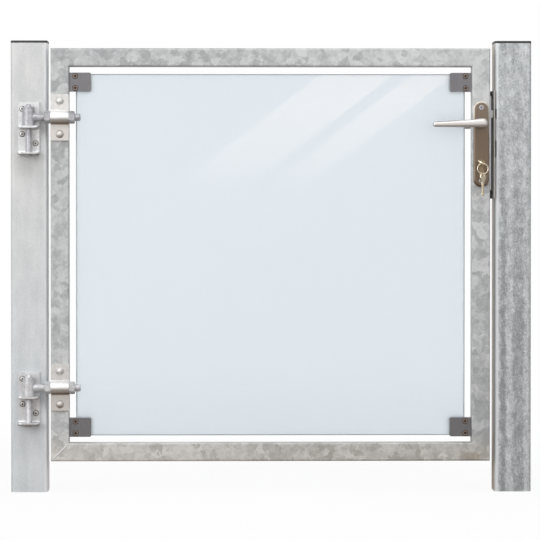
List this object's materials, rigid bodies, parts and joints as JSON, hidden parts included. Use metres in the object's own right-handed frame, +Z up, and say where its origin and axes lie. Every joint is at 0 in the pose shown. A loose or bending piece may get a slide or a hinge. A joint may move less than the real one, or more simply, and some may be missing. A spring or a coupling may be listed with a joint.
{
  "type": "single glass garden gate with posts",
  "caption": "Swing gate: galvanised tube frame with a glass pane in corner clamps, eye-bolt hinges, lever lock with key, and square steel posts.",
  "frame": {"origin": "middle of the hinge post's foot at ground level", "axes": "+X across the gateway from the hinge post to the latch post, +Y from the viewer's side to the far side, +Z up"},
  "size_m": [1.1365, 0.1474, 0.985],
  "materials": {
    "post_galvanised": "matte",
    "frame_galvanised": "satin",
    "hinge_zinc": "satin",
    "cap_plastic": "matte",
    "keep_steel": "satin",
    "pane_glass": "polished",
    "clamp_stainless": "satin",
    "pad_rubber": "matte",
    "plate_bronze_grey": "satin",
    "lever_aluminium": "satin",
    "lock_steel": "satin",
    "key_brass": "gloss",
    "ring_steel": "gloss"
  },
  "bodies": {
    "posts": {"hinge_post": "post_galvanised", "latch_post": "post_galvanised", "hinge_post_cap": "cap_plastic", "latch_post_cap": "cap_plastic", "upper_hinge_bracket": "hinge_zinc", "lower_hinge_bracket": "hinge_zinc", "upper_hinge_pin": "hinge_zinc", "lower_hinge_pin": "hinge_zinc", "latch_keep": "keep_steel"},
    "leaf": {"hinge_stile": "frame_galvanised", "lock_stile": "frame_galvanised", "top_rail": "frame_galvanised", "bottom_rail": "frame_galvanised", "glass_pane": "pane_glass", "upper_left_clamp_back": "clamp_stainless", "upper_right_clamp_back": "clamp_stainless", "lower_left_clamp_back": "clamp_stainless", "lower_right_clamp_back": "clamp_stainless", "upper_left_clamp_front": "clamp_stainless", "upper_right_clamp_front": "clamp_stainless", "lower_left_clamp_front": "clamp_stainless", "lower_right_clamp_front": "clamp_stainless", "upper_left_clamp_pads": "pad_rubber", "upper_right_clamp_pads": "pad_rubber", "lower_left_clamp_pads": "pad_rubber", "lower_right_clamp_pads": "pad_rubber", "upper_hinge_strap": "hinge_zinc", "lower_hinge_strap": "hinge_zinc", "upper_eye_bolt": "hinge_zinc", "lower_eye_bolt": "hinge_zinc", "hinge_nuts": "hinge_zinc", "strap_bolts": "hinge_zinc", "front_lock_plate": "plate_bronze_grey", "back_lock_plate": "plate_bronze_grey", "lock_case": "lock_steel", "dead_bolt": "lock_steel", "lock_cylinder": "key_brass"},
    "lever": {"front_lever": "lever_aluminium", "back_lever": "lever_aluminium", "lever_spindle": "lock_steel"},
    "latch": {"latch_bolt": "lock_steel"},
    "key": {"cylinder_plug": "key_brass", "lock_key": "key_brass", "key_ring": "ring_steel", "spare_key": "key_brass"}
  },
  "joints": [
    {"name": "leaf_swing", "type": "hinge", "parent": "posts", "child": "leaf", "pos_m": [0, -0.06, 0.5], "axis": [0, 0, -1], "range_deg": [0, 180]},
    {"name": "lever_press", "type": "hinge", "parent": "leaf", "child": "lever", "pos_m": [0.9855, -0.0317, 0.805], "axis": [0, -1, 0], "range_deg": [0, 40], "stiffness_Nm_per_rad": 1, "springref_deg": -28.65},
    {"name": "latch_draw", "type": "slide", "parent": "leaf", "child": "latch", "axis": [-1, 0, 0], "range_m": [0, 0.0051]},
    {"name": "key_turn", "type": "hinge", "parent": "leaf", "child": "key", "pos_m": [0.9855, -0.0317, 0.717], "axis": [0, 1, 0], "range_deg": [0, 360]}
  ],
  "couplings": [
    {"joint": "latch_draw", "follows": "lever_press", "m_per_rad": 0.0073}
  ]
}
